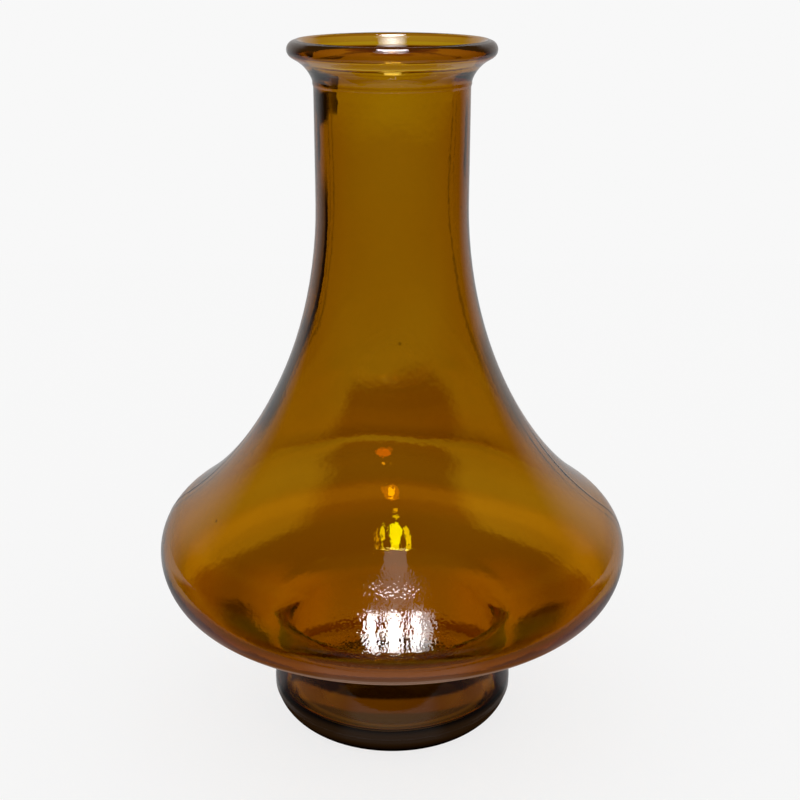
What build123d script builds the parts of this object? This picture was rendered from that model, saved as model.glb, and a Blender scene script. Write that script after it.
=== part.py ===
from build123d import *

import os
from math import cos, radians, sin

# Gourd vase of mould-blown amber glass: a squat belly on a short foot, a long hollow-curved
# shoulder, a straight neck and a flared mouth with a rounded rim.
# Millimetres, +Z up, origin on the ground under the middle of the foot.
# Every piece is one level of the wall, turned about the Z axis, and the levels meet face to face on rings.

# Heights of the levels, from the ground up
foot_height = 32.0  # ground to where the belly springs from the foot
belly_rise = 34.75  # top of the foot to the belly's widest ring
shoulder_rise = 121.45  # widest ring to the bottom of the straight neck
spread_rise = 46.0  # widest ring to the top of the spreading lower shoulder
neck_length = 38.7  # straight neck, up to the mould line under the mouth
mouth_height = 13.7  # mould line to the top of the rim

# Outside radii
foot_radius = 43.6
belly_radius = 82.5
neck_radius = 25.5
rim_overhang = 8.4  # how far the rim stands out past the neck

# Glass thickness
floor_thickness = 11.5  # ground to the inner floor, at the floor's edge
foot_wall = 4.7
belly_wall = 3.6  # thinnest at the widest ring, where the glass was blown furthest
neck_wall = 4.6

# Base and foot
heel_radius = 12.8  # rounded lower edge of the foot
foot_lean = 6.0  # lean of the foot's wall, which narrows upwards, in degrees from upright
bearing_width = 3.0  # flat ring that the vase stands on
push_up = 3.5  # rise of the hollow under the base
floor_rise = 1.5  # rise of the inner floor at its middle

# Belly, with the wall's facing in degrees above level
waist_radius = 6.0  # hollow curve between foot and belly
edge_radius = 18.4  # round edge at the widest ring
underside_start = -72.0  # facing of the wall where it leaves the waist
underside_end = -60.0  # facing where the underside meets the round edge
shoulder_start = 55.2  # facing where the shoulder leaves the round edge

# Mouth
bead_radius = 3.1  # rounded rim
flare_lean = 14.0  # lean of the flare at the mould line, in degrees from upright
flare_end = -70.0  # place on the rim's round where the outer flare meets it, in degrees above level
funnel_lean = 16.0  # lean of the inner funnel where it meets the rim, in degrees from upright


def facing(angle):
    """Unit vector outwards from the axis, turned up by an angle in degrees."""
    return Vector(cos(radians(angle)), sin(radians(angle)))


def climbing(angle):
    """Unit vector up along a wall that faces the given angle."""
    return facing(angle + 90)


# Places that follow from the sizes above
belly_height = foot_height + belly_rise
spread_top = belly_height + spread_rise
neck_start = belly_height + shoulder_rise
mould_line = neck_start + neck_length
bearing_radius = foot_radius - heel_radius
neck_bore = neck_radius - neck_wall
edge_centre = Vector(belly_radius - edge_radius, belly_height)
heel_centre = Vector(bearing_radius, heel_radius)
heel_top = heel_centre + facing(foot_lean) * heel_radius
foot_top = heel_top + climbing(foot_lean) * ((foot_height - heel_top.Y) / cos(radians(foot_lean)))
bore_bottom = heel_top - facing(foot_lean) * foot_wall
bore_top = foot_top - facing(foot_lean) * foot_wall
waist_centre = foot_top + facing(foot_lean) * waist_radius
bead_centre = Vector(neck_radius + rim_overhang - bead_radius, mould_line + mouth_height - bead_radius)


def blend(start, start_way, end, end_way):
    """Smooth curve that leaves and arrives along given ways, each for a third of the chord."""
    reach = (end - start).length / 3
    return Bezier(start, start + start_way * reach, end - end_way * reach, end)


def turned(edges):
    """Solid turned about Z from the closed row of edges that bounds its section."""
    return revolve(Plane.XZ * make_face(edges), Axis.Z)


def wall(outer, inner):
    """Level of the wall between an outer and an inner row of curves, both drawn upwards."""
    lower_ring = Line(inner[0] @ 0, outer[0] @ 0)
    upper_ring = Line(inner[-1] @ 1, outer[-1] @ 1)
    return turned([*outer, *inner, lower_ring, upper_ring])


def base():
    """Floor of the vase with its rounded heel, standing ring and the hollow underneath."""
    ring_inside = bearing_radius - bearing_width
    hollow = TangentArc((0, push_up), (ring_inside, 0), tangent=(1, 0))
    bearing_ring = Line((ring_inside, 0), (bearing_radius, 0))
    heel = CenterArc(heel_centre, heel_radius, -90, 90 + foot_lean)
    corner_radius = (bore_bottom.Y - floor_thickness) / (1 + sin(radians(foot_lean)))
    corner_centre = bore_bottom - facing(foot_lean) * corner_radius
    corner = CenterArc(corner_centre, corner_radius, -90, 90 + foot_lean)
    floor = TangentArc((0, floor_thickness + floor_rise), corner @ 0, tangent=(1, 0))
    return wall([hollow, bearing_ring, heel], [floor, corner])


def foot():
    """Ring between the base and the belly, a little narrower at its top."""
    return wall([Line(heel_top, foot_top)], [Line(bore_bottom, bore_top)])


def underside_line(waist, edge):
    """Line of the underside: hollow waist, then a gentle bulge out to the round edge."""
    waist_arc = CenterArc(waist_centre, waist, 180 + foot_lean, underside_start - foot_lean)
    edge_start = edge_centre + facing(underside_end) * edge
    bulge = blend(waist_arc @ 1, climbing(underside_start), edge_start, climbing(underside_end))
    return [waist_arc, bulge]


def underside():
    """Underside of the belly, from the foot out to the round edge."""
    outer = underside_line(waist_radius, edge_radius)
    inner = underside_line(waist_radius + foot_wall, edge_radius - belly_wall)
    return wall(outer, inner)


def belly(start, end):
    """Band of the belly's round edge between two facings of its wall."""
    outer = CenterArc(edge_centre, edge_radius, start, end - start)
    inner = CenterArc(edge_centre, edge_radius - belly_wall, start, end - start)
    return wall([outer], [inner])


def shoulder_line(edge, neck):
    """Line of the shoulder: one long hollow sweep from the round edge up to the neck."""
    edge_end = edge_centre + facing(shoulder_start) * edge
    return blend(edge_end, climbing(shoulder_start), Vector(neck, neck_start), climbing(0))


def shoulder():
    """Shoulder, drawn in from the belly to the neck, cut level into a spreading and a steep half."""
    outer = shoulder_line(edge_radius, neck_radius)
    inner = shoulder_line(edge_radius - belly_wall, neck_bore)
    return split(wall([outer], [inner]), Plane.XY.offset(spread_top), keep=Keep.BOTH)


def neck():
    """Straight neck, from the shoulder to the mould line under the mouth."""
    outer = Line((neck_radius, neck_start), (neck_radius, mould_line))
    inner = Line((neck_bore, neck_start), (neck_bore, mould_line))
    return wall([outer], [inner])


def mouth():
    """Outer flare, inner funnel and rounded rim, cut level where the flare meets the rim."""
    flare_top = bead_centre + facing(flare_end) * bead_radius
    funnel_end = 180 - funnel_lean
    funnel_top = bead_centre + facing(funnel_end) * bead_radius
    flare = TangentArc((neck_radius, mould_line), flare_top, tangent=climbing(-flare_lean))
    funnel = blend(Vector(neck_bore, mould_line), climbing(0), funnel_top, climbing(-funnel_lean))
    round_rim = CenterArc(bead_centre, bead_radius, flare_end, funnel_end - flare_end)
    lower_ring = Line((neck_bore, mould_line), (neck_radius, mould_line))
    whole = turned([flare, round_rim, funnel, lower_ring])
    return split(whole, Plane.XY.offset(flare_top.Y), keep=Keep.BOTH)


lower_shoulder, upper_shoulder = shoulder().solids().sort_by(Axis.Z)
mouth_flare, rim = mouth().solids().sort_by(Axis.Z)
pieces = {
    "base": base(),
    "foot": foot(),
    "underside": underside(),
    "lower_belly": belly(underside_end, 0),
    "upper_belly": belly(0, shoulder_start),
    "lower_shoulder": lower_shoulder,
    "upper_shoulder": upper_shoulder,
    "neck": neck(),
    "mouth_flare": mouth_flare,
    "rim": rim,
}

os.makedirs("parts", exist_ok=True)
for name, solid in pieces.items():
    export_step(solid, f"parts/{name}.step")
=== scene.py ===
import math

import bpy
import numpy as np
from mathutils import Matrix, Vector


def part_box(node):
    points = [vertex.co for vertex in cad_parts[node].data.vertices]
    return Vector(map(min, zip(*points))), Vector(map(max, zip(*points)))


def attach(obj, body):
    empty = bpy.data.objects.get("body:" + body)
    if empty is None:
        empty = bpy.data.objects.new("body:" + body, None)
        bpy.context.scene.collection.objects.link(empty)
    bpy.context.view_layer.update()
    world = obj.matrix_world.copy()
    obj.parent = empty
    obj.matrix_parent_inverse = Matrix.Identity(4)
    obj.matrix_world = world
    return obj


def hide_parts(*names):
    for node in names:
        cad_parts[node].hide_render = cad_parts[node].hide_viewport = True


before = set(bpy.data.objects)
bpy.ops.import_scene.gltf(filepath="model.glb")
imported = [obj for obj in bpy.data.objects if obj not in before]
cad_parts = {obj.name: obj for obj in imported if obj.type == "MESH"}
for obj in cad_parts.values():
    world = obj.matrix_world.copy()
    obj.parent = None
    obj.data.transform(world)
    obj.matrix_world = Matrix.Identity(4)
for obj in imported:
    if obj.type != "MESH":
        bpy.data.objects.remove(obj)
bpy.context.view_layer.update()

mm = 0.001
scene = bpy.context.scene
print("frame loaded:", len(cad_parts), "levels of glass")


# Camera at the photograph's viewing angle
photoCamera = {
    "standOff": 0.4339,  # level distance from the vase's axis, in metres
    "height": 0.272,
    "pitch": 19.4,  # degrees down
    "lens": 59.6,
    "sensor": 36.0,
    "shiftX": 0.00975,
    "nearest": 0.01,
}


def addCamera(size):
    data = bpy.data.cameras.new("photo_camera")
    data.lens = size["lens"]
    data.sensor_width = size["sensor"]
    data.shift_x = size["shiftX"]
    data.clip_start = size["nearest"]
    camera = bpy.data.objects.new("photo_camera", data)
    camera.location = (0.0, -size["standOff"], size["height"])
    camera.rotation_euler = (math.radians(90.0 - size["pitch"]), 0.0, 0.0)
    scene.collection.objects.link(camera)
    scene.camera = camera


addCamera(photoCamera)
print("camera set")


# Section of the glass, in millimetres: radius and height of points along curves
def low(node):
    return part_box(node)[0].z / mm


def top(node):
    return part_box(node)[1].z / mm


def reach(node):
    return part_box(node)[1].x / mm


levels = {
    "footTop": top("foot"),
    "belly": top("lower_belly"),
    "neckStart": low("neck"),
    "mouldLine": top("neck"),
    "rimTop": top("rim"),
    "footRadius": reach("base"),
    "bellyRadius": reach("upper_belly"),
    "neckRadius": reach("neck"),
    "rimRadius": reach("rim"),
}
glassWall = {
    "floor": 11.5,  # ground to the inner floor, at the floor's edge
    "foot": 4.7,
    "belly": 3.6,
    "neck": 4.6,
    "bearingWidth": 3.0,
    "pushUp": 3.5,
    "floorRise": 1.5,
    "heelRadius": 12.8,
    "footLean": 6.0,  # the foot narrows upwards, in degrees from upright
    "waistRadius": 6.0,
    "edgeRadius": 18.4,
    "undersideStart": -72.0,  # facings of the wall, in degrees above level
    "undersideEnd": -60.0,
    "shoulderStart": 55.2,
    "beadRadius": 3.1,
    "flareLean": 14.0,
    "flareEnd": -70.0,
    "funnelLean": 16.0,  # lean of the inner funnel at the rim, in degrees from upright
}


def facing(angle):
    turn = math.radians(angle)
    return np.array([math.cos(turn), math.sin(turn)])


def line(start, end, count=200):
    share = np.linspace(0.0, 1.0, count)[:, None]
    return np.asarray(start) * (1.0 - share) + np.asarray(end) * share


def arc(centre, radius, start, end, count=400):
    turn = np.radians(np.linspace(start, end, count))
    return np.asarray(centre) + radius * np.stack([np.cos(turn), np.sin(turn)], axis=1)


def tangentArc(start, end, way):
    # The centre lies square to the way, at half the chord squared over the chord's sideways part.
    start, end, way = (np.asarray(v, dtype=float) for v in (start, end, way))
    side = np.array([-way[1], way[0]])
    chord = end - start
    radius = chord @ chord / (2.0 * (chord @ side))
    centre = start + side * radius
    first = math.degrees(math.atan2(*(start - centre)[::-1]))
    last = math.degrees(math.atan2(*(end - centre)[::-1]))
    last = first + (last - first + 180.0) % 360.0 - 180.0
    return arc(centre, abs(radius), first, last)


def blend(start, startFacing, end, endFacing, count=1200):
    # Cubic curve whose handles are a third of the chord, along the wall at each end.
    handle = np.linalg.norm(end - start) / 3.0
    first = start + facing(startFacing + 90.0) * handle
    second = end - facing(endFacing + 90.0) * handle
    t = np.linspace(0.0, 1.0, count)[:, None]
    return (1 - t) ** 3 * start + 3 * (1 - t) ** 2 * t * first + 3 * (1 - t) * t**2 * second + t**3 * end


def sectionCurves(level, wall):
    lean = wall["footLean"]
    out = facing(lean)
    heel = np.array([level["footRadius"] - wall["heelRadius"], wall["heelRadius"]])
    ring = heel[0] - wall["bearingWidth"]
    heelTop = heel + out * wall["heelRadius"]
    footTop = heelTop + facing(lean + 90.0) * (level["footTop"] - heelTop[1]) / out[0]
    boreLow = heelTop - out * wall["foot"]
    boreTop = footTop - out * wall["foot"]
    corner = (boreLow[1] - wall["floor"]) / (1.0 + out[1])
    cornerCentre = boreLow - out * corner
    waist = footTop + out * wall["waistRadius"]
    waistEnd = 180.0 + wall["undersideStart"]
    innerWaist = wall["waistRadius"] + wall["foot"]
    edge = np.array([level["bellyRadius"] - wall["edgeRadius"], level["belly"]])
    innerEdge = wall["edgeRadius"] - wall["belly"]
    neckOuter = level["neckRadius"]
    neckBore = neckOuter - wall["neck"]
    bead = np.array([level["rimRadius"], level["rimTop"]]) - wall["beadRadius"]
    flareTop = bead + facing(wall["flareEnd"]) * wall["beadRadius"]
    funnelEnd = 180.0 - wall["funnelLean"]
    funnelTop = bead + facing(funnelEnd) * wall["beadRadius"]

    def underside(waistSize, edgeSize):
        start = waist + facing(waistEnd) * waistSize
        end = edge + facing(wall["undersideEnd"]) * edgeSize
        hollow = arc(waist, waistSize, 180.0 + lean, waistEnd)
        return [hollow, blend(start, wall["undersideStart"], end, wall["undersideEnd"])]

    def shoulder(edgeSize, neck):
        start = edge + facing(wall["shoulderStart"]) * edgeSize
        return blend(start, wall["shoulderStart"], np.array([neck, level["neckStart"]]), 0.0)

    outer = [
        tangentArc((0.0, wall["pushUp"]), (ring, 0.0), (1.0, 0.0)),
        line((ring, 0.0), (heel[0], 0.0)),
        arc(heel, wall["heelRadius"], -90.0, lean),
        line(heelTop, footTop),
        *underside(wall["waistRadius"], wall["edgeRadius"]),
        arc(edge, wall["edgeRadius"], wall["undersideEnd"], wall["shoulderStart"]),
        shoulder(wall["edgeRadius"], neckOuter),
        line((neckOuter, level["neckStart"]), (neckOuter, level["mouldLine"])),
        tangentArc((neckOuter, level["mouldLine"]), flareTop, facing(90.0 - wall["flareLean"])),
        arc(bead, wall["beadRadius"], wall["flareEnd"], funnelEnd),
    ]
    inner = [
        tangentArc((0.0, wall["floor"] + wall["floorRise"]), cornerCentre - [0.0, corner], (1.0, 0.0)),
        arc(cornerCentre, corner, -90.0, lean),
        line(boreLow, boreTop),
        *underside(innerWaist, innerEdge),
        arc(edge, innerEdge, wall["undersideEnd"], wall["shoulderStart"]),
        shoulder(innerEdge, neckBore),
        line((neckBore, level["neckStart"]), (neckBore, level["mouldLine"])),
        blend(np.array([neckBore, level["mouldLine"]]), 0.0, funnelTop, -wall["funnelLean"]),
    ]
    return np.concatenate(outer + [np.concatenate(inner)[::-1]])


def evenly(points, step):
    run = np.concatenate([[0.0], np.cumsum(np.linalg.norm(np.diff(points, axis=0), axis=1))])
    keep = np.concatenate([[True], np.diff(run) > 1e-9])  # without doubled points
    points = points[keep]
    run = run[keep]
    at = np.linspace(0.0, run[-1], int(run[-1] / step) + 1)
    return np.stack([np.interp(at, run, points[:, i]) for i in (0, 1)], axis=1)


def bell(distance, width):
    # Gaussian bump of height one.
    return np.exp(-0.5 * (distance / width) ** 2)


def softened(points, step, width):
    # Gaussian mean along the curve; past each end the curve goes on mirrored in the axis.
    half = int(4 * width / step)
    share = bell(np.arange(-half, half + 1) * step, width)
    share /= share.sum()
    before = points[half:0:-1] * [-1.0, 1.0]
    after = points[-2 : -half - 2 : -1] * [-1.0, 1.0]
    longer = np.concatenate([before, points, after])
    return np.stack([np.convolve(longer[:, i], share, mode="valid") for i in (0, 1)], axis=1)


# The vase as one closed wall of glass, turned about the axis
skin = {
    "step": 0.05,  # spacing of the fine section, in millimetres
    "soften": 0.7,  # rounding of the section's corners
    "inset": 0.2,  # room for ridges inside the CAD box
    "flatBelow": 0.5,  # height of the standing ring, which stays level
    "fuller": (53.0, 4.0, 0.45),  # height, spread and amount of a slight fullness under the belly's edge
    "rows": 292,
    "straightRows": 0.16,  # share of rows on straight stretches, per millimetre
    "bendForRow": 0.065,  # bend that adds a share of one
    "ridgeRows": 3.0,  # share added at the ridges, over twice their width
    "columns": 296,
    "seamColumns": 12,
    "seamReach": 0.7,  # degrees to each side of a seam that have more columns
    "seams": (-4.0, 176.0),  # bearings of the two mould seams, in degrees from +X
    "seamHeight": 0.1,
    "seamWidth": 0.35,
    "seamRadius": 20.0,  # inside it a seam narrows towards the axis
    "seamSpan": (70.0, 78.0, 100.0, 150.0),  # heights where the seams start, are full, fade and end
    "ridges": (  # level lines left by the mould: height, rise and width
        (levels["mouldLine"], 0.22, 0.45),
        (10.4, 0.16, 0.4),
    ),
    "sideRadius": 24.0,  # ridges and bubbles are on the outer wall past this radius
}
ripples = {
    "seed": 41,
    "outer": (0.035, 9, 40.0),  # rise, how many waves and their length in millimetres
    "inner": (0.2, 12, 60.0),
    "turns": (1, 7),  # times that a wave goes up and down round the vase, from and below
    "stretch": (0.6, 1.8),  # shortest and longest wave as shares of the length
    "radii": (4.0, 34.0),  # where the waves start and are full, out from the axis
    "depths": (2.0, 22.0),  # and down from the rim
}
bubbles = {
    "rings": 10,
    "sides": 16,
    "lastRing": 1.45,  # latitude of the ring next to a pole, in radians
    "stretch": (1.0, 1.0, 1.5),
    "places": (  # small bubbles of air in the wall: bearing, height, depth under the skin, radius
        (-85.4, 149.0, 0.7, 0.35),
        (-12.0, 188.0, 0.9, 0.3),
        (-152.0, 88.0, 0.8, 0.35),
        (35.0, 120.0, 1.2, 0.3),
        (105.0, 70.0, 1.3, 0.4),
        (160.0, 170.0, 1.5, 0.3),
    ),
}


def sectionOfVase(size):
    evened = evenly(sectionCurves(levels, glassWall), size["step"])
    points = softened(evened, size["step"], size["soften"])
    points[[0, -1], 0] = 0.0
    along = np.gradient(points, axis=0)
    along /= np.linalg.norm(along, axis=1)[:, None]
    out = np.stack([along[:, 1], -along[:, 0]], axis=1)  # facing out of the glass
    isOuter = np.arange(len(points)) <= np.argmax(points[:, 1])
    isSide = isOuter & (points[:, 0] > size["sideRadius"])
    return {"points": points, "along": along, "out": out, "isOuter": isOuter, "isSide": isSide}


def chooseRows(section, size):
    # Rows are closer where the section bends and at the ridges, in step with the running sum of shares.
    bend = np.linalg.norm(np.gradient(section["along"], axis=0), axis=1) / size["step"]
    share = size["straightRows"] + bend / size["bendForRow"]
    for height, _, width in size["ridges"]:
        share += section["isSide"] * size["ridgeRows"] * bell(section["points"][:, 1] - height, 2.0 * width)
    total = np.cumsum(share)
    rows = np.searchsorted(total, np.linspace(total[0], total[-1], size["rows"]))
    return np.unique(np.clip(rows, 0, len(total) - 1))


def chooseColumns(size):
    # Even bearings, with a few more close to each seam.
    even = np.arange(size["columns"]) * 360.0 / size["columns"]
    fan = np.linspace(-size["seamReach"], size["seamReach"], size["seamColumns"])
    near = [seam + fan for seam in size["seams"]]
    return np.radians(np.unique(np.round(np.concatenate([even, *near]) % 360.0, 4)))


def waves(bearing, height, kind, size, rng):
    # Sum of cosines round and up the wall with random turns, lengths and phases, scaled to about the rise.
    rise, count, length = kind
    total = np.zeros(np.broadcast(bearing, height).shape)
    for _ in range(count):
        turns = rng.integers(*size["turns"])
        pitch = length * rng.uniform(*size["stretch"])
        phase = rng.uniform(0.0, 2.0 * np.pi)
        total += np.cos(turns * bearing + 2.0 * np.pi * height / pitch + phase)
    return rise * (total / math.sqrt(count))


def relief(r, z, bearing, isOuter, isSide, size):
    # Out of the glass by waves, the fullness, two upright seams and the level ridges, less the inset.
    rng = np.random.default_rng(ripples["seed"])
    outerWaves = waves(bearing, z, ripples["outer"], ripples, rng)
    innerWaves = waves(bearing, z, ripples["inner"], ripples, rng)
    fromAxis = np.interp(r, ripples["radii"], (0.0, 1.0))
    fromRim = np.interp(levels["rimTop"] - z, ripples["depths"], (0.0, 1.0))
    share = fromAxis * fromRim  # none on the axis and at the rim
    fullAt, fullSpan, fullRise = size["fuller"]
    outside = outerWaves * share + fullRise * bell(z - fullAt, fullSpan) - size["inset"]
    move = np.where(isOuter, outside, innerWaves * share)
    upright = np.interp(z, size["seamSpan"], (0.0, 1.0, 1.0, 0.0)) * size["seamHeight"]
    for seam in size["seams"]:
        turn = (bearing - math.radians(seam) + np.pi) % (2.0 * np.pi) - np.pi
        move += isOuter * upright * bell(turn * np.maximum(r, size["seamRadius"]), size["seamWidth"])
    for height, rise, width in size["ridges"]:
        move += isSide * rise * bell(z - height, width)
    return move


def ringQuads(rings, columns):
    # Each quad joins a point, the next one round its ring and the two above them.
    row = np.arange(rings - 1)[:, None] * columns
    here = np.arange(columns)
    there = (here + 1) % columns
    corners = [row + here, row + there, row + columns + there, row + columns + here]
    return np.stack(corners, axis=2).reshape(-1, 4)


def buildVase(section, size):
    # The section's rows, moved by the relief and turned to each bearing, with a fan at each end on the axis.
    rows = chooseRows(section, size)
    bearing = chooseColumns(size)[None, :]
    r, z = section["points"][rows].T[:, :, None]
    outward, upward = section["out"][rows].T[:, :, None]
    isOuter = section["isOuter"][rows][:, None]
    isSide = section["isSide"][rows][:, None]
    move = relief(r, z, bearing, isOuter, isSide, size)
    lift = np.where(isOuter & (z < size["flatBelow"]), 0.0, move)
    ring = r + outward * move
    points = np.stack([ring * np.cos(bearing), ring * np.sin(bearing), z + upward * lift], axis=2)
    ends = [[0.0, 0.0, section["points"][end, 1]] for end in (0, -1)]
    vertices = np.concatenate([points[1:-1].reshape(-1, 3), ends])

    rings = len(rows) - 2
    columns = bearing.size
    here = np.arange(columns)
    there = (here + 1) % columns
    lastRing = (rings - 1) * columns
    bottom = np.full(columns, rings * columns)
    bottomFan = np.stack([bottom, there, here], axis=1)
    topFan = np.stack([lastRing + here, lastRing + there, bottom + 1], axis=1)
    faces = np.concatenate([bottomFan, topFan]).tolist()
    outerMark = np.append(np.repeat(isOuter[1:-1], columns), [True, False])
    return vertices * mm, ringQuads(rings, columns).tolist() + faces, outerMark


def buildBubbles(section, size, inset, offset):
    # Balls on a grid of latitude and longitude, turned inside out so that they face away from the glass.
    latitude = np.linspace(-size["lastRing"], size["lastRing"], size["rings"])[:, None]
    longitude = np.linspace(0.0, 2.0 * np.pi, size["sides"], endpoint=False)[None, :]
    east = np.cos(latitude) * np.cos(longitude)
    north = np.cos(latitude) * np.sin(longitude)
    ball = np.stack(np.broadcast_arrays(east, north, np.sin(latitude)), axis=2).reshape(-1, 3)
    ball = ball * size["stretch"]
    grid = ringQuads(size["rings"], size["sides"])[:, [0, 3, 2, 1]]
    around = np.arange(size["sides"])
    ends = np.stack([around, len(ball) - 1 - around])
    side = np.flatnonzero(section["isSide"])
    vertices = []
    quads = []
    caps = []
    for number, (bearing, height, depth, radius) in enumerate(size["places"]):
        at = side[np.argmin(np.abs(section["points"][side, 1] - height))]
        ring, rise = section["points"][at] - section["out"][at] * (depth + inset + radius)
        turn = math.radians(bearing)
        middle = np.array([ring * math.cos(turn), ring * math.sin(turn), rise])
        start = offset + number * len(ball)
        vertices.append((middle + ball * radius) * mm)
        quads.extend((start + grid).tolist())
        caps.extend((start + ends).tolist())
    return np.concatenate(vertices), quads + caps


section = sectionOfVase(skin)
wallVertices, wallFaces, outerMark = buildVase(section, skin)
bubbleVertices, bubbleFaces = buildBubbles(section, bubbles, skin["inset"], len(wallVertices))
mesh = bpy.data.meshes.new("glass_vase")
mesh.from_pydata(np.concatenate([wallVertices, bubbleVertices]).tolist(), [], wallFaces + bubbleFaces)
mesh.polygons.foreach_set("use_smooth", np.ones(len(mesh.polygons), dtype=bool))
outerAttribute = mesh.attributes.new("outer", "FLOAT", "POINT")
outerAttribute.data.foreach_set("value", np.append(outerMark, np.zeros(len(bubbleVertices))))
mesh.update()
vase = bpy.data.objects.new("glass_vase", mesh)
scene.collection.objects.link(vase)
triangles = len(mesh.loops) - 2 * len(mesh.polygons)
print("glass made:", len(mesh.vertices), "points,", triangles, "triangles, valid:", not mesh.validate())


# Shader arithmetic on sockets
class Wire:
    def __init__(self, tree, socket=None):
        self.tree = tree
        self.socket = socket

    def make(self, kind, settings=None, values=None, output=0):
        made = self.tree.nodes.new(kind)
        for name, value in (settings or {}).items():
            setattr(made, name, value)
        for name, value in (values or {}).items():
            if isinstance(value, Wire):
                self.tree.links.new(value.socket, made.inputs[name])
            else:
                made.inputs[name].default_value = value
        return Wire(self.tree, made.outputs[output] if len(made.outputs) else None)

    def math(self, operation, *values):
        return self.make("ShaderNodeMath", {"operation": operation}, dict(enumerate(values)))

    def __add__(self, other):
        return self.math("ADD", self, other)

    def __sub__(self, other):
        return self.math("SUBTRACT", self, other)

    def __rsub__(self, other):
        return self.math("SUBTRACT", other, self)

    def __mul__(self, other):
        return self.math("MULTIPLY", self, other)

    def __truediv__(self, other):
        return self.math("DIVIDE", self, other)

    __radd__ = __add__
    __rmul__ = __mul__

    def atLeast(self, other):
        return self.math("MAXIMUM", self, other)

    def axis(self, name):
        return self.make("ShaderNodeSeparateXYZ", {}, {0: self}, name)

    def distance(self, place):
        return self.make("ShaderNodeVectorMath", {"operation": "DISTANCE"}, {0: self, 1: place}, "Value")

    def mix(self, share, first, second):
        return self.make("ShaderNodeMix", {"data_type": "RGBA"}, {0: share, 6: first, 7: second}, 2)

    def ramp(self, start, end, before=0.0, after=1.0):
        settings = {"interpolation_type": "SMOOTHSTEP"}
        values = {"Value": self, "From Min": start, "From Max": end, "To Min": before, "To Max": after}
        return self.make("ShaderNodeMapRange", settings, values)

    def fall(self, start, end):
        return self.ramp(start, end, 1.0, 0.0)

    def band(self, start, full, fade, end):
        return self.ramp(start, full) * self.fall(fade, end)


def newTree(owner):
    owner.use_nodes = True
    owner.node_tree.nodes.clear()
    return Wire(owner.node_tree)


def grey(level):
    return (level, level, level, 1.0)


# Amber glass: places in metres, with four where a band starts, is full, fades and ends
amber = {
    "density": 710.0,
    "tint": (0.88, 0.752, 0.014, 1.0),
    "ior": 1.5,
    "patches": (35.0, 3.0),  # scale and detail of the noises
    "dimples": (500.0, 2.0),
    "grains": (1300.0, 0.0),
    "roughness": (0.35, 0.7, 0.0, 0.03),  # range of the patches and the roughness at its ends
    "worn": (0.0, 0.0012, 0.35, 0.0),  # heights and roughness of the worn ring where it stands
    "ripple": 0.02,
    "hammer": 0.052,  # stronger dimples in the skin of the belly's front
    "hammerAside": (0.014, 0.022),
    "hammerDepth": (-0.04, -0.03),
    "hammerHeight": (0.06, 0.066, 0.084, 0.09),
    # painted glows: emission colours that stand in for light gathered in the glass
    "rimGlow": (0.03, 0.012, 0.002, 1.0),  # light gathered in the thick rim
    "rimHeight": (0.237, 0.2385),
    "heelGlow": (0.016, 0.007, 0.002, 1.0),  # and in the heel
    "heelHeight": (0.004, 0.0085, 0.0115, 0.0145),
    "floorGlow": (0.05, 0.03, 0.015, 1.0),  # the same in a line round the inner floor
    "floorHeight": (0.013, 0.0145),
    "floorDepth": (-0.008, 0.0),
    "floorRadius": (0.0338, 0.0344, 0.0352, 0.0358),
    "edgeGlow": (0.085, 0.03, 0.002, 1.0),  # and under the belly's round edge
    "edgeHeight": (0.044, 0.049, 0.0535, 0.0575),
    # painted glow line, brighter than the glow round it, along the belly's round edge
    "edgeLine": (0.19, 0.12, 0.083, 1.0),
    "edgeLineHeight": (0.0485, 0.0505, 0.0525, 0.055),
}


def noise(place, scale, detail):
    return place.make("ShaderNodeTexNoise", {}, {"Vector": place, "Scale": scale, "Detail": detail}, "Fac")


def amberGlass(look):
    material = bpy.data.materials.new("amber_glass")
    tree = newTree(material)
    place = tree.make("ShaderNodeTexCoord", output="Object")
    outer = tree.make("ShaderNodeAttribute", {"attribute_name": "outer"}, output="Fac")
    aside = tree.math("ABSOLUTE", place.axis("X"))
    deep = place.axis("Y")
    height = place.axis("Z")
    radius = tree.math("SQRT", aside * aside + deep * deep)

    rough = noise(place, *look["patches"]).ramp(*look["roughness"]) + height.ramp(*look["worn"])
    front = outer * aside.fall(*look["hammerAside"]) * deep.fall(*look["hammerDepth"])
    hammered = noise(place, *look["grains"]) * front * height.band(*look["hammerHeight"])
    dimpled = noise(place, *look["dimples"]) * look["ripple"] + hammered * look["hammer"]
    bump = tree.make("ShaderNodeBump", {}, {"Height": dimpled, "Strength": 1.0, "Distance": mm}, "Normal")

    # painted glows on the glass, in the rim, heel, inner floor and under the belly's edge
    onFloor = (1.0 - outer) * height.fall(*look["floorHeight"]) * deep.fall(*look["floorDepth"])
    glow = tree.mix(height.ramp(*look["rimHeight"]), grey(0.0), look["rimGlow"])
    glow = tree.mix(outer * height.band(*look["heelHeight"]), glow, look["heelGlow"])
    glow = tree.mix(onFloor * radius.band(*look["floorRadius"]), glow, look["floorGlow"])
    glow = tree.mix(outer * height.band(*look["edgeHeight"]), glow, look["edgeGlow"])
    glow = tree.mix(outer * height.band(*look["edgeLineHeight"]), glow, look["edgeLine"])
    surface = {
        "Base Color": grey(1.0),
        "Roughness": rough,
        "Transmission Weight": 1.0,
        "IOR": look["ior"],
        "Emission Color": glow,
        "Emission Strength": 1.0,
        "Normal": bump,
    }
    glass = tree.make("ShaderNodeBsdfPrincipled", {}, surface)
    depth = tree.make("ShaderNodeVolumeAbsorption", {}, {"Color": look["tint"], "Density": look["density"]})
    tree.make("ShaderNodeOutputMaterial", {}, {"Surface": glass, "Volume": depth})
    return material


mesh.materials.append(amberGlass(amber))
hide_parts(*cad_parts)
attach(vase, "root")
print("glass dressed")


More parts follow.
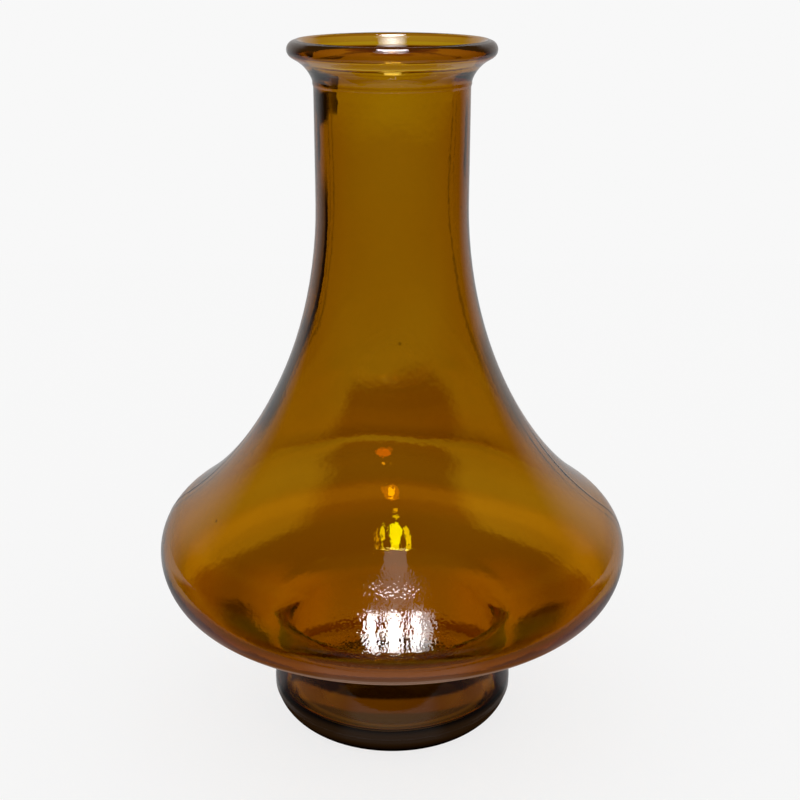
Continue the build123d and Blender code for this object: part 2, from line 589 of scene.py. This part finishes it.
# Floor and world: what the camera, the glass and its reflections see of them
studio = {
    "white": 0.938,  # backdrop as the camera sees it
    "dome": 0.75,  # soft light from all round
    "far": (0.55, 0.5, 0.44, 1.0),  # floor and backdrop as the glass shows them
    "mirrorBack": 0.48,  # and in reflections
}
floorPlane = {
    "half": 0.7,
    "drop": 0.2,  # millimetres under the standing ring
    "matt": 0.8,
    "shadowShare": 0.25,
}
shadow = {  # painted shadow and light on the floor round the foot, through the glass; places in metres aside, behind or away from the axis
    "near": (0.62, 0.53, 0.45, 1.0),
    "nearAway": (0.2, 0.6),
    "shade": (0.38, 0.25, 0.1, 1.0),  # the vase's own amber shadow
    "halfWidth": (  # steps of its half width: start and end behind the vase, width there
        (0.08, 0.15, 0.1, 0.043),
        (0.045, 0.085, 0.04, 0.0),
        (0.15, 0.2, 0.0, -0.006),
        (0.21, 0.28, 0.0, 0.009),
    ),
    "softEdge": 0.008,
    "shadeEnd": (0.36, 0.41),
    "glow": (0.48, 0.3, 0.12, 1.0),  # the same close to the foot, where the glass gathers light
    "glowBehind": (0.085, 0.11),
    "glowSides": (0.62, 0.37, 0.12, 1.0),
    "glowAside": (0.022, 0.038),
    "outside": (0.33, 0.18, 0.06, 1.0),  # and further out to the sides
    "outsideAside": (0.048, 0.07),
    "streak": (0.03, 0.0, 0.0, 1.0),  # painted dark streak of shade on each side of the glow
    "streakAside": (0.045, 0.052, 0.068, 0.085),
    "streakBehind": (0.0, 0.008, 0.056, 0.066),
    "streakSlant": (0.046, 1.5, 0.03),  # its back edge: start aside, steepness and start behind
    "streakSoft": (0.0, 0.006),
    "ring": (0.25, 0.1, 0.03, 1.0),  # shade round the foot
    "ringAway": (0.065, 0.069),
    "ringAside": (0.04, 0.05),
    "ringBehind": (0.02, 0.03),
    "front": (0.28, 0.18, 0.1, 1.0),  # painted shade on the floor in front of the foot
    "frontBehind": (-0.03, 0.0),
    "dark": (0.01, 0.0, 0.0, 1.0),  # painted dark shade to the left and right of the foot
    "darkAside": (0.038, 0.044, 0.062, 0.07),
    "darkBehind": (-0.03, -0.02, 0.004, 0.012),
}
underBase = {  # painted shade and a painted bright curve on the floor under the base, through the glass
    "edge": (0.0405, 0.0435),
    "crest": (0.42, 0.52, 0.1, 1.0),  # painted bright curve, in the middle and at its ends
    "crestEnds": (0.75, 1.3, 0.3, 1.0),
    "endsAside": (0.012, 0.032),
    "crestBack": 0.012,  # how far its ends curve back, at the side below
    "crestSide": 0.035,
    "crestFront": (-0.0065, -0.0045),
    "crestFar": (0.003, 0.006),
    "front": (0.22, 0.42, 0.1, 1.0),
    "back": (0.9, 1.1, 0.3, 1.0),
    "backEdge": (0.5, 0.4, 0.15, 1.0),
    "backBehind": (0.012, 0.015),
    "backAway": (0.034, 0.041),
    # painted shade under the base
    "dark": (0.01, 0.0, 0.0, 1.0),
    "darkAway": (0.034, 0.038),
    "darkBehind": (-0.012, -0.004),
}
pool = {  # painted light and shade on the floor in reflections: levels, and places in metres
    "middle": (0.0, 0.152, 0.0),  # lit disc, with its middle behind the vase
    "radius": 0.2505,
    "soft": 0.002,
    "litBehind": (0.05, 0.15),
    "foot": 0.17,  # in front of the foot
    "footTurn": (-0.93, -0.8),  # depth over distance from the axis
    "rim": 0.2,  # brighter along the disc's front edge
    "rimInside": (0.026, 0.016),
    "side": (-0.6, 0.1, 0.11, 0.28),  # beside the foot: depth over distance, and level
    "sideNear": (0.07, 0.085, 0.3, 1.0),  # painted shade, dimmer close to the foot
    "ring": 0.1,  # painted light, brighter in a thin ring round the foot
    "ringAway": (0.0485, 0.0505, 0.0535, 0.0565),
    "contact": (0.043, 0.049),  # painted contact shadow, dark where the foot meets the floor
    "frontOnly": (-0.01, 0.01),
    "backBehind": (0.0, 0.12),
}


def rayIs(tree, kind):
    return tree.make("ShaderNodeLightPath", output=f"Is {kind} Ray")


def shadeAround(tree, aside, behind, away, look):
    # Pale floor, and the painted amber shadow that narrows behind the vase with a painted dark streak of
    # shade on each side.
    halfWidth = sum(behind.ramp(*step) for step in look["halfWidth"])
    inside = (aside - halfWidth).fall(-look["softEdge"], look["softEdge"]) * behind.fall(*look["shadeEnd"])
    slantAside, steepness, slantBehind = look["streakSlant"]
    slant = behind - (aside - slantAside) * steepness - slantBehind
    streak = aside.band(*look["streakAside"]) * behind.band(*look["streakBehind"])
    streak = streak * slant.fall(*look["streakSoft"])
    ring = away.fall(*look["ringAway"]) * behind.ramp(*look["ringBehind"]) * aside.fall(*look["ringAside"])
    dark = aside.band(*look["darkAside"]) * behind.band(*look["darkBehind"])
    pale = tree.mix(away.ramp(*look["nearAway"]), look["near"], studio["far"])
    shade = tree.mix(aside.ramp(*look["glowAside"]), look["glow"], look["glowSides"])
    shade = tree.mix(aside.ramp(*look["outsideAside"]), shade, look["outside"])
    shade = tree.mix(behind.ramp(*look["glowBehind"]), shade, look["shade"])
    around = tree.mix(inside, pale, shade)
    around = tree.mix(streak, around, look["streak"])
    around = tree.mix(ring, around, look["ring"])
    around = tree.mix(behind.ramp(*look["frontBehind"]), look["front"], around)
    return tree.mix(dark, around, look["dark"])


def shadeUnder(tree, aside, behind, away, look):
    # A painted bright curve between bands of painted shade; its distance back grows with the cube of the
    # distance aside.
    curve = behind + look["crestBack"]
    curve = curve - tree.math("POWER", aside / look["crestSide"], 3.0) * look["crestBack"]
    back = tree.mix(away.ramp(*look["backAway"]), look["back"], look["backEdge"])
    dark = away.ramp(*look["darkAway"]) * behind.fall(*look["darkBehind"])
    under = tree.mix(aside.ramp(*look["endsAside"]), look["crest"], look["crestEnds"])
    under = tree.mix(curve.ramp(*look["crestFront"]), look["front"], under)
    under = tree.mix(curve.ramp(*look["crestFar"]), under, look["dark"])
    under = tree.mix(behind.ramp(*look["backBehind"]), under, back)
    return tree.mix(dark, under, look["dark"])


def mirrorLevel(place, behind, away, look):
    # A painted lit disc of floor with a sharp front edge, dim beside the foot and brighter behind, with a
    # painted contact shadow at the foot.
    radius = look["radius"]
    outwards = place.distance(look["middle"])
    disc = outwards.fall(radius - look["soft"], radius + look["soft"])
    rimStart, rimEnd = (radius - inside for inside in look["rimInside"])
    front = outwards.ramp(rimStart, rimEnd, 0.0, look["rim"]) + look["foot"]
    turn = behind / away
    toFront = turn.fall(*look["footTurn"])
    notFront = behind.ramp(*look["frontOnly"])
    side = turn.ramp(*look["side"]) * away.ramp(*look["sideNear"]).atLeast(notFront)
    level = toFront * front + (1.0 - toFront) * side
    level = level + away.band(*look["ringAway"]) * look["ring"]
    level = level.atLeast(behind.ramp(*look["backBehind"], 0.0, studio["mirrorBack"]))
    contact = away.ramp(*look["contact"]).atLeast(notFront)
    return level * contact * disc.atLeast(behind.ramp(*look["litBehind"]))


def paleFloor(size):
    material = bpy.data.materials.new("pale_floor")
    tree = newTree(material)
    place = tree.make("ShaderNodeTexCoord", output="Object")
    aside = tree.math("ABSOLUTE", place.axis("X"))
    behind = place.axis("Y")
    away = place.distance((0.0, 0.0, 0.0))
    around = shadeAround(tree, aside, behind, away, shadow)
    under = shadeUnder(tree, aside, behind, away, underBase)
    through = tree.mix(away.ramp(*underBase["edge"]), under, around)
    mirror = mirrorLevel(place, behind, away, pool)
    bounce = tree.mix(rayIs(tree, "Transmission"), mirror, through)
    glow = tree.make("ShaderNodeEmission", {}, {"Color": bounce})
    matt = tree.make("ShaderNodeBsdfDiffuse", {}, {"Color": grey(size["matt"])})
    share = size["shadowShare"]
    lit = studio["dome"] * size["matt"]
    level = (studio["white"] - share * lit) / (1.0 - share)  # makes white together with the lit matt
    white = tree.make("ShaderNodeEmission", {}, {"Color": grey(level)})
    seen = tree.make("ShaderNodeMixShader", {}, {0: share, 1: white, 2: matt})
    bounced = tree.make("ShaderNodeMixShader", {}, {0: rayIs(tree, "Diffuse"), 1: glow, 2: matt})
    mixed = tree.make("ShaderNodeMixShader", {}, {0: rayIs(tree, "Camera"), 1: bounced, 2: seen})
    tree.make("ShaderNodeOutputMaterial", {}, {"Surface": mixed})
    return material


def addFloor(size):
    half = size["half"]
    corners = [(-half, -half), (half, -half), (half, half), (-half, half)]
    data = bpy.data.meshes.new("floor")
    data.from_pydata([(x, y, -size["drop"] * mm) for x, y in corners], [], [(0, 1, 2, 3)])
    data.materials.append(paleFloor(size))
    floor = bpy.data.objects.new("floor", data)
    scene.collection.objects.link(floor)


addFloor(floorPlane)
print("floor laid")

backdrop = {  # colours through the glass, with how far behind and up they lie on the unit ball of ways
    "above": (0.75, 0.68, 0.4, 1.0),
    "aboveUp": (0.05, 0.2),
    "sky": (0.46, 0.34, 0.2, 1.0),
    "skyUp": (0.15, 0.2),
    "skyBehind": (0.8, 0.9),
    "horizon": (0.66, 0.68, 0.44, 1.0),  # brighter straight behind the mouth
    "horizonUp": (-0.15, -0.115, 0.06, 0.14),
    "horizonBehind": (0.9, 0.95),
    "dim": (0.12, 0.11, 0.1, 1.0),  # the room above and behind the camera
    "dimUp": (0.48, 0.58),
    "dimBehind": (-0.1, 0.4),
    "mirrorUp": (0.45, 0.6),  # lit part of the backdrop in reflections
    "mirrorBehind": (0.4, 0.8),
}


def addWorld(look):
    world = bpy.data.worlds.new("studio")
    scene.world = world
    tree = newTree(world)
    way = tree.make("ShaderNodeTexCoord", output="Generated")
    behind = way.axis("Y")
    up = way.axis("Z")
    mirror = behind.ramp(*look["mirrorBehind"], 0.0, studio["mirrorBack"]) * up.fall(*look["mirrorUp"])
    inSky = up.ramp(*look["skyUp"]) * behind.ramp(*look["skyBehind"])
    atHorizon = up.band(*look["horizonUp"]) * behind.ramp(*look["horizonBehind"])
    through = tree.mix(up.ramp(*look["aboveUp"]), studio["far"], look["above"])
    through = tree.mix(inSky, through, look["sky"])
    through = tree.mix(atHorizon, through, look["horizon"])
    through = tree.mix(up.ramp(*look["dimUp"]), through, look["dim"])
    through = tree.mix(behind.ramp(*look["dimBehind"]), look["dim"], through)
    level = tree.mix(rayIs(tree, "Transmission"), mirror, through)
    level = tree.mix(rayIs(tree, "Diffuse"), level, grey(studio["dome"]))
    level = tree.mix(rayIs(tree, "Camera"), level, grey(studio["white"]))
    light = tree.make("ShaderNodeBackground", {}, {"Color": level})
    tree.make("ShaderNodeOutputWorld", {}, {"Surface": light})


addWorld(backdrop)
print("world set")


# Lamps, seen only in reflections apart from the gathered spots
def addLamp(name, centre, right, up, radiance, spread):
    # A flat lamp whose sides are the two given vectors; it shines along right cross up, turned round.
    width = np.linalg.norm(right)
    height = np.linalg.norm(up)
    data = bpy.data.lights.new(name, "AREA")
    data.shape = "RECTANGLE"
    data.size = width
    data.size_y = height
    data.energy = radiance * math.pi * width * height
    data.spread = math.radians(spread)
    lamp = bpy.data.objects.new(name, data)
    across = np.asarray(right) / width
    along = np.asarray(up) / height
    turn = np.eye(4)
    turn[:3] = np.stack([across, along, np.cross(across, along), centre], axis=1)
    lamp.matrix_world = Matrix(turn.tolist())
    lamp.visible_diffuse = False
    lamp.visible_transmission = False
    scene.collection.objects.link(lamp)
    return lamp


panes = {
    "foot": (0.0, -135.0, 38.0),  # middle of the lower edge, in millimetres
    "head": (0.0, -112.6, 128.0),
    "spread": 115.0,  # degrees
    "parts": (  # left and right edges in millimetres, lower and upper edges as shares, radiance
        (-17.5, -9.2, 0.0, 1.0, 16.0),
        (-4.2, 6.6, 0.0, 1.0, 16.0),
        (11.8, 18.5, 0.0, 1.0, 16.0),
        (18.5, 27.0, 0.0, 1.0, 4.0),
        (-16.0, -8.4, 1.0, 1.35, 3.0),
        (-4.8, 5.0, 1.0, 1.35, 3.0),
        (12.0, 22.0, 1.0, 1.35, 3.0),
    ),
}


def addPanes(size):
    foot = np.array(size["foot"]) * mm
    rise = np.array(size["head"]) * mm - foot
    aside = np.array([mm, 0.0, 0.0])
    for number, (left, right, start, end, radiance) in enumerate(size["parts"], 1):
        centre = foot + rise * (start + end) / 2.0 + aside * (left + right) / 2.0
        across = aside * (right - left)
        addLamp(f"pane_{number}", centre, across, rise * (end - start), radiance, size["spread"])


flat = {
    "lift": 0.00005,  # clear of the floor
    "lamps": (  # left, right, front and back edges and height in metres, radiance, spread
        (-0.1, 0.1, -0.22, 0.2, 1.0, 25.0, 180.0),
        (-0.055, 0.105, -0.49, -0.22, 1.0, 1.4, 180.0),
        (-0.055, 0.05, -0.44, -0.22, 1.0, 1.0, 180.0),
        (-0.05, 0.025, -0.42, -0.22, 1.0, 1.4, 180.0),
        (-0.025, 0.012, -0.42, -0.22, 1.0, 1.5, 180.0),
        (-0.09, 0.15, -0.31, -0.22, 1.0, 0.6, 180.0),
        (-0.5, 0.5, -0.43, -0.15, 0.0, 0.26, 123.0),
        (-0.16, 0.16, -0.15, -0.0985, 0.0, 0.1, 84.0),
        (-0.5, -0.2, -0.15, 0.6, 0.0, 0.26, 123.0),
        (0.2, 0.5, -0.15, 0.6, 0.0, 0.26, 123.0),
    ),
}


def addFlatLamps(size):
    for number, (left, right, front, back, height, radiance, spread) in enumerate(size["lamps"], 1):
        centre = ((left + right) / 2.0, (front + back) / 2.0, height + size["lift"])
        deep = back - front if height > 0.0 else front - back  # lamps on the floor shine up
        addLamp(f"flat_{number}", centre, (right - left, 0.0, 0.0), (0.0, deep, 0.0), radiance, spread)


mouthLamps = {
    "aim": (0.0, 0.03, 0.235),
    "range": 0.3,
    "size": (0.18, 0.0546),
    "spread": 34.0,
    "lamps": ((46.2, 0.7), (56.5, 0.35), (66.8, 0.5)),  # degrees up in front of the vase, radiance
}


def addMouthLamps(size):
    width, height = size["size"]
    for number, (elevation, radiance) in enumerate(size["lamps"], 1):
        turn = math.radians(elevation)
        way = np.array([0.0, -math.cos(turn), math.sin(turn)])
        along = height * np.array([0.0, math.sin(turn), math.cos(turn)])
        centre = np.array(size["aim"]) + size["range"] * way
        addLamp(f"mouth_{number}", centre, (width, 0.0, 0.0), along, radiance, size["spread"])


gathered = {
    "tilt": 23.0,  # degrees up from level
    "spread": 40.0,
    "strength": 0.055,  # undoes the brightening of a narrow spread
    "spots": (  # light gathered close behind the waist: place, size and lean in millimetres, colour
        ((0.45, 60.0, 37.8), (5.6, 8.6), 0.0, (1.9, 3.5, 0.05)),
        ((-4.65, 60.0, 37.8), (2.0, 7.6), 0.0, (1.5, 2.3, 0.3)),
        ((-7.2, 60.0, 36.9), (1.0, 6.2), 0.0, (0.9, 0.9, 0.1)),
        ((5.5, 60.0, 37.0), (2.5, 7.6), -1.9, (1.5, 2.2, 0.3)),
        ((0.6, 72.0, 39.2), (3.6, 2.2), 0.0, (1.1, 1.5, 0.1)),
        ((0.5, 72.0, 43.0), (2.6, 2.0), 0.0, (1.0, 1.0, 0.1)),
        ((-1.3, 90.0, 43.8), (3.8, 4.6), 0.0, (1.3, 1.2, 0.1)),
        ((-1.2, 90.0, 44.0), (8.0, 6.8), 0.0, (0.4, 0.2, 0.03)),
        ((-4.2, 95.0, 63.8), (7.5, 4.2), 0.6, (0.65, 0.19, 0.08)),
        ((-1.8, 95.0, 66.0), (5.0, 2.6), -0.4, (0.3, 0.1, 0.05)),
        ((-4.4, 95.0, 57.4), (1.5, 1.3), 0.0, (0.9, 0.6, 0.4)),
        ((-0.8, 95.0, 57.4), (1.2, 1.0), 0.0, (0.5, 0.35, 0.2)),
    ),
}


def addGathered(size):
    tilt = math.radians(size["tilt"])
    level = np.array([1.0, 0.0, 0.0])
    rising = np.array([0.0, math.sin(tilt), math.cos(tilt)])
    for number, (place, (width, height), lean, colour) in enumerate(size["spots"], 1):
        turn = math.atan2(lean, height)
        across = (level * math.cos(turn) - rising * math.sin(turn)) * width * mm
        down = (level * -math.sin(turn) - rising * math.cos(turn)) * height * mm  # turned to face the vase
        radiance = max(colour) * math.pi / 4.0 * size["strength"]
        lamp = addLamp(f"gathered_{number}", np.array(place) * mm, across, down, radiance, size["spread"])
        lamp.data.shape = "ELLIPSE"
        lamp.data.color = np.array(colour) / max(colour)
        lamp.visible_glossy = False
        lamp.visible_transmission = True


addPanes(panes)
addFlatLamps(flat)
addMouthLamps(mouthLamps)
addGathered(gathered)
print("lamps hung")


# Dark flags close beside the neck, which give the glass dark edges; only light through the glass meets them
flags = {
    "points": 40,  # along each edge
    "widen": 0.25,  # more reach behind the shoulder, per millimetre of its radius past the neck's
    "widenDepth": 5.0,  # for flags deeper than this
    "strips": (  # side, depth, edges past the wall, lowest and highest point and fade in millimetres, level
        (-1.0, 10.0, (-0.7, 0.4), (108.0, 226.0), 10.0, 0.22),
        (-1.0, 2.0, (-0.05, 1.7), (194.0, 226.0), 8.0, 0.0),
        (-1.0, 2.0, (-0.05, 1.7), (150.0, 202.0), 10.0, 0.2),
        (-1.0, 2.0, (-0.05, 1.7), (106.0, 160.0), 12.0, 0.03),
        (-1.0, 0.0, (0.7, 2.7), (146.0, 200.0), 12.0, 0.2),
        (-1.0, -2.0, (0.8, 3.2), (146.0, 200.0), 12.0, 0.18),
        (-1.0, 0.0, (0.7, 2.7), (106.0, 158.0), 12.0, 0.06),
        (-1.0, -2.0, (0.8, 3.2), (106.0, 158.0), 12.0, 0.1),
        (-1.0, -4.0, (0.8, 3.5), (128.0, 204.0), 18.0, 0.02),
        (-1.0, -6.0, (0.6, 2.5), (106.0, 160.0), 20.0, 0.15),
        (-1.0, 14.0, (-3.8, 8.0), (214.5, 227.0), 2.5, 0.03),
        (-1.0, 14.0, (8.0, 45.0), (210.0, 225.0), 2.5, 0.03),
        (1.0, 10.0, (-0.7, 0.4), (190.0, 226.0), 12.0, 0.2),
        (1.0, 2.0, (-0.05, 1.7), (190.0, 226.0), 12.0, 0.08),
        (1.0, 10.0, (-0.7, 0.4), (104.0, 150.0), 14.0, 0.2),
        (1.0, 2.0, (-0.05, 1.7), (104.0, 150.0), 14.0, 0.1),
        (1.0, 0.0, (0.7, 2.7), (104.0, 150.0), 14.0, 0.18),
        (1.0, -2.0, (0.8, 3.2), (104.0, 150.0), 14.0, 0.2),
        (1.0, -4.0, (0.8, 3.5), (104.0, 146.0), 14.0, 0.25),
        (1.0, 10.3, (-2.05, -0.75), (112.0, 212.0), 25.0, 0.24),
    ),
}


def flagCloth(name, span, fade, level):
    # Plain dark cloth that thins out towards its upper and lower ends.
    material = bpy.data.materials.new(name)
    tree = newTree(material)
    height = tree.make("ShaderNodeTexCoord", output="Object").axis("Z")
    lowest, highest = np.array(span) * mm
    whole = height.band(lowest, lowest + fade * mm, highest - fade * mm, highest)
    clear = tree.make("ShaderNodeBsdfTransparent")
    cloth = tree.make("ShaderNodeEmission", {}, {"Color": grey(level)})
    mixed = tree.make("ShaderNodeMixShader", {}, {0: whole, 1: clear, 2: cloth})
    tree.make("ShaderNodeOutputMaterial", {}, {"Surface": mixed})
    return material


def addFlags(size, section):
    # Each flag is a strip at one depth between two lines that follow the wall's outline upwards.
    radii, heights = section["points"].T
    above = section["isOuter"] & (heights > levels["belly"]) & (heights < levels["mouldLine"])
    count = size["points"]
    quads = np.arange(count - 1)[:, None] + [0, count, count + 1, 1]
    for number, (side, depth, (near, far), span, fade, level) in enumerate(size["strips"], 1):
        height = np.linspace(*span, count)
        radius = np.interp(height, heights[above], radii[above])
        deep = np.full(count, depth)
        if depth > size["widenDepth"]:
            far = far + size["widen"] * (radius - levels["neckRadius"])
        edges = [np.stack([side * (radius + past), deep, height], axis=1) for past in (near, far)]
        data = bpy.data.meshes.new(f"flag_{number}")
        data.from_pydata((np.concatenate(edges) * mm).tolist(), [], quads.tolist())
        data.materials.append(flagCloth(f"flag_cloth_{number}", span, fade, level))
        flag = bpy.data.objects.new(f"flag_{number}", data)
        flag.visible_camera = False
        flag.visible_diffuse = False
        flag.visible_glossy = False
        flag.visible_shadow = False
        scene.collection.objects.link(flag)


addFlags(flags, section)
scene.view_settings.view_transform = "Standard"
print("stage lit")
